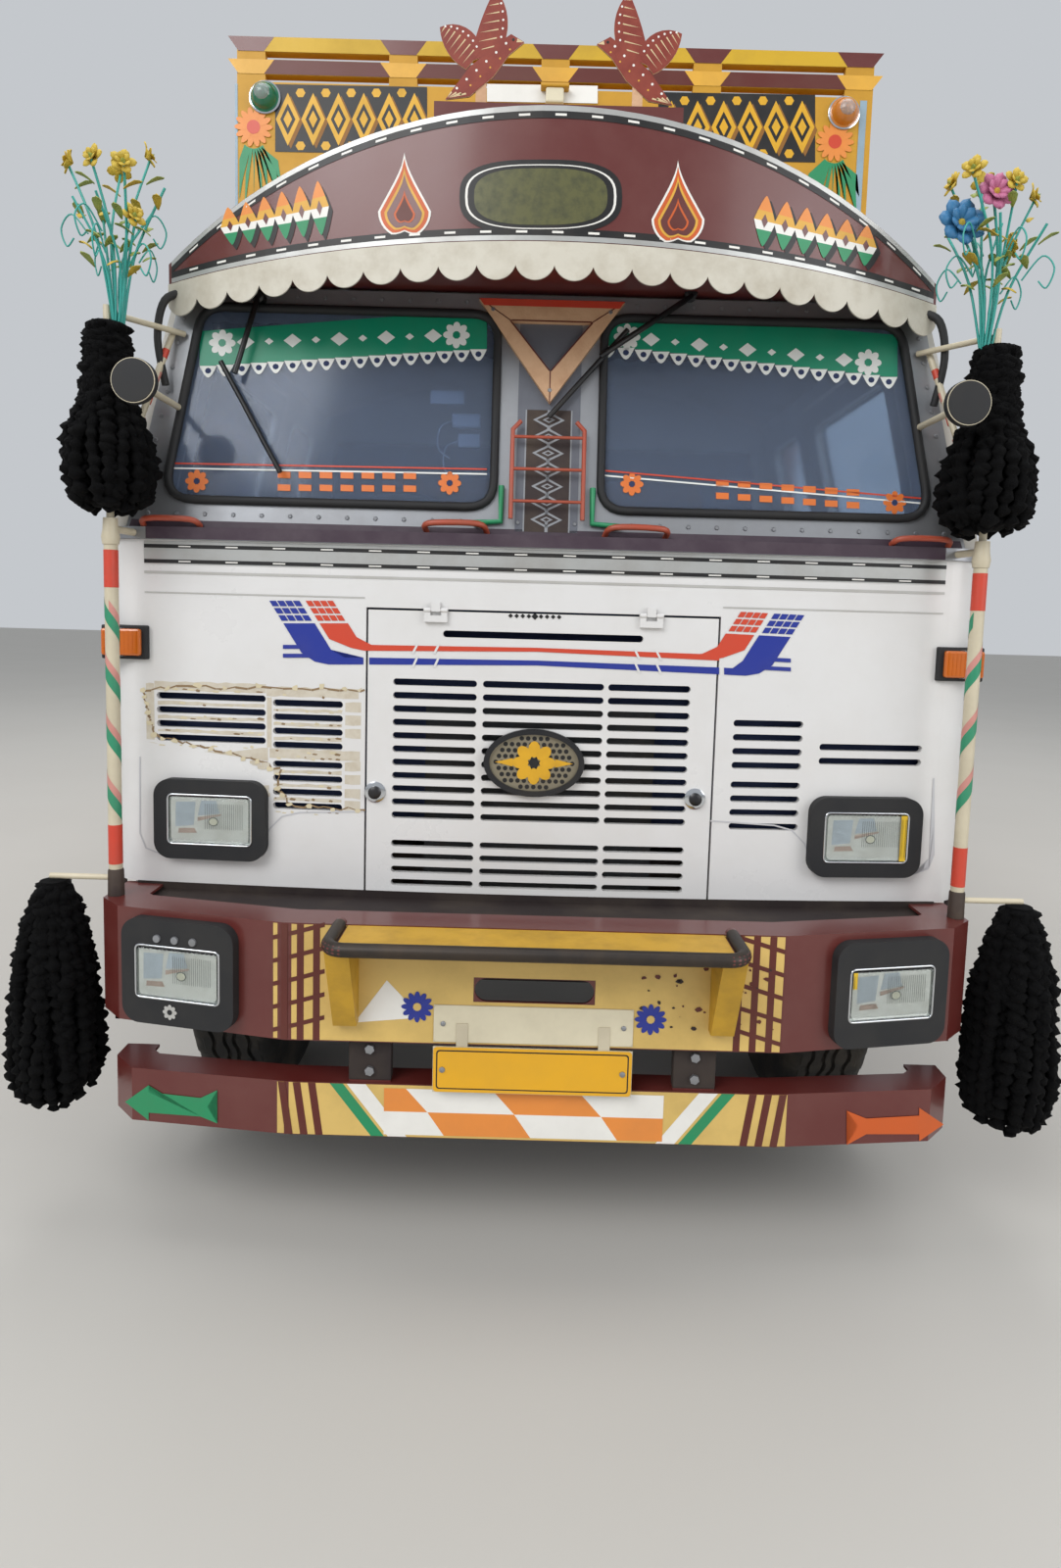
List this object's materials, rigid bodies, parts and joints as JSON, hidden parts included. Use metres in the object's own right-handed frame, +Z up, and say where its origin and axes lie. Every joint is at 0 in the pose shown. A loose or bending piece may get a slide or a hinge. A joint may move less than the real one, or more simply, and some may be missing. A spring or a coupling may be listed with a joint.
{
  "type": "goods truck",
  "caption": "Heavy goods truck with a painted, tasselled cab, roof carrier and high open load body; wheels turn and steer, doors, grille flap and tailboard open.",
  "frame": {"origin": "on the ground, in the middle of the length and width", "axes": "+X to the right as the front is looked at, -Y the way the truck faces, +Z up"},
  "size_m": [2.9698, 9.945, 3.966],
  "materials": {
    "tyre_rubber": "worn black rubber, dusty",
    "rim_paint": "red paint, dusty",
    "chassis_paint": "dark red-brown paint, dusty",
    "engine_iron": "painted cast iron, oily",
    "tank_steel": "grey paint, dusty",
    "bumper_paint": "maroon gloss paint with coloured bands",
    "cab_paint": "white gloss paint, peeling at the vents",
    "screen_frame_metal": "bare sheet with rivets",
    "glass": "clear",
    "maroon_paint": "maroon gloss paint with painted bands",
    "fringe_fabric": "cream cloth",
    "load_wood": "painted boards, worn",
    "bezel_rubber": "dark grey rubber",
    "lamp_lens": "clear and amber lenses",
    "tassel_yarn": "black yarn",
    "flower_plastic": "turquoise and yellow",
    "ornament_paint": "painted sheet",
    "dash_plastic": "dark grey",
    "seat_vinyl": "dark red vinyl"
  },
  "bodies": {
    "truck": {"front_axles": "chassis_paint", "rear_axle_housings": "chassis_paint", "leaf_springs": "chassis_paint", "chassis_frame": "chassis_paint", "engine": "engine_iron", "propeller_shafts": "chassis_paint", "fuel_tank": "tank_steel", "battery_and_air_tanks": "chassis_paint", "front_bumper": "bumper_paint", "low_bars": "bumper_paint", "cab_front": "cab_paint", "windscreen_frame": "screen_frame_metal", "windscreens": "glass", "cab_sides": "cab_paint", "cab_back": "cab_paint", "cab_floor": "cab_paint", "cab_roof": "cab_paint", "visor": "maroon_paint", "visor_fringe": "fringe_fabric", "roof_carrier": "maroon_paint", "load_deck": "load_wood", "load_sides": "load_wood", "load_ends": "load_wood", "mudguards": "bumper_paint", "cab_steps": "bumper_paint", "lamp_bezels": "bezel_rubber", "lamps": "lamp_lens", "mirror_brackets": "bumper_paint", "tassels": "tassel_yarn", "bouquets": "flower_plastic", "ornaments": "ornament_paint", "number_boards": "ornament_paint", "dashboard": "dash_plastic", "seats": "seat_vinyl"},
    "steering_first_left": {"knuckle_first_left": "chassis_paint"},
    "wheel_first_left": {"rim_first_left": "rim_paint", "tyre_first_left": "tyre_rubber"},
    "steering_first_right": {"knuckle_first_right": "chassis_paint"},
    "wheel_first_right": {"rim_first_right": "rim_paint", "tyre_first_right": "tyre_rubber"},
    "steering_second_left": {"knuckle_second_left": "chassis_paint"},
    "wheel_second_left": {"rim_second_left": "rim_paint", "tyre_second_left": "tyre_rubber"},
    "steering_second_right": {"knuckle_second_right": "chassis_paint"},
    "wheel_second_right": {"rim_second_right": "rim_paint", "tyre_second_right": "tyre_rubber"},
    "wheel_drive_left": {"rims_drive_left": "rim_paint", "tyres_drive_left": "tyre_rubber"},
    "wheel_drive_right": {"rims_drive_right": "rim_paint", "tyres_drive_right": "tyre_rubber"},
    "wheel_tag_left": {"rims_tag_left": "rim_paint", "tyres_tag_left": "tyre_rubber"},
    "wheel_tag_right": {"rims_tag_right": "rim_paint", "tyres_tag_right": "tyre_rubber"},
    "flap": {"grille_flap": "cab_paint"},
    "cab_door_left": {"door_left": "cab_paint"},
    "cab_door_right": {"door_right": "cab_paint"},
    "tail_gate": {"tailboard": "load_wood"},
    "load_door_left": {"rear_door_left": "load_wood"},
    "load_door_right": {"rear_door_right": "load_wood"}
  },
  "joints": [
    {"name": "steer_first_left", "type": "hinge", "parent": "truck", "child": "steering_first_left", "pos_m": [-0.84, -3.6185, 0.525], "axis": [0, 0, 1], "range_deg": [-35, 35]},
    {"name": "roll_first_left", "type": "hinge", "parent": "steering_first_left", "child": "wheel_first_left", "pos_m": [-1.01, -3.6185, 0.525], "axis": [1, 0, 0], "continuous": true},
    {"name": "steer_first_right", "type": "hinge", "parent": "truck", "child": "steering_first_right", "pos_m": [0.84, -3.6185, 0.525], "axis": [0, 0, 1], "range_deg": [-35, 35]},
    {"name": "roll_first_right", "type": "hinge", "parent": "steering_first_right", "child": "wheel_first_right", "pos_m": [1.01, -3.6185, 0.525], "axis": [1, 0, 0], "continuous": true},
    {"name": "steer_second_left", "type": "hinge", "parent": "truck", "child": "steering_second_left", "pos_m": [-0.84, -1.7385, 0.525], "axis": [0, 0, 1], "range_deg": [-24.5, 24.5]},
    {"name": "roll_second_left", "type": "hinge", "parent": "steering_second_left", "child": "wheel_second_left", "pos_m": [-1.01, -1.7385, 0.525], "axis": [1, 0, 0], "continuous": true},
    {"name": "steer_second_right", "type": "hinge", "parent": "truck", "child": "steering_second_right", "pos_m": [0.84, -1.7385, 0.525], "axis": [0, 0, 1], "range_deg": [-24.5, 24.5]},
    {"name": "roll_second_right", "type": "hinge", "parent": "steering_second_right", "child": "wheel_second_right", "pos_m": [1.01, -1.7385, 0.525], "axis": [1, 0, 0], "continuous": true},
    {"name": "roll_drive_left", "type": "hinge", "parent": "truck", "child": "wheel_drive_left", "pos_m": [-0.915, 1.9615, 0.525], "axis": [1, 0, 0], "continuous": true},
    {"name": "roll_drive_right", "type": "hinge", "parent": "truck", "child": "wheel_drive_right", "pos_m": [0.915, 1.9615, 0.525], "axis": [1, 0, 0], "continuous": true},
    {"name": "roll_tag_left", "type": "hinge", "parent": "truck", "child": "wheel_tag_left", "pos_m": [-0.915, 3.3315, 0.525], "axis": [1, 0, 0], "continuous": true},
    {"name": "roll_tag_right", "type": "hinge", "parent": "truck", "child": "wheel_tag_right", "pos_m": [0.915, 3.3315, 0.525], "axis": [1, 0, 0], "continuous": true},
    {"name": "flap_hinge", "type": "hinge", "parent": "truck", "child": "flap", "pos_m": [0, -4.5045, 1.763], "axis": [-1, 0, 0], "range_deg": [0, 85]},
    {"name": "cab_door_hinge_left", "type": "hinge", "parent": "truck", "child": "cab_door_left", "pos_m": [-1.2407, -4.1395, 1.55], "axis": [0, 0, 1], "range_deg": [0, 70]},
    {"name": "cab_door_hinge_right", "type": "hinge", "parent": "truck", "child": "cab_door_right", "pos_m": [1.2407, -4.1395, 1.55], "axis": [0, 0, -1], "range_deg": [0, 70]},
    {"name": "tailboard_hinge", "type": "hinge", "parent": "truck", "child": "tail_gate", "pos_m": [0, 4.9725, 1.218], "axis": [-1, 0, 0], "range_deg": [0, 180]},
    {"name": "load_door_hinge_left", "type": "hinge", "parent": "truck", "child": "load_door_left", "pos_m": [-1.2673, 4.9725, 2.6], "axis": [0, 0, 1], "range_deg": [0, 265]},
    {"name": "load_door_hinge_right", "type": "hinge", "parent": "truck", "child": "load_door_right", "pos_m": [1.2673, 4.9725, 2.6], "axis": [0, 0, -1], "range_deg": [0, 265]}
  ],
  "couplings": [
    {"joint": "steer_first_right", "follows": "steer_first_left", "ratio": 1},
    {"joint": "steer_second_left", "follows": "steer_first_left", "ratio": 0.7},
    {"joint": "steer_second_right", "follows": "steer_first_left", "ratio": 0.7}
  ]
}
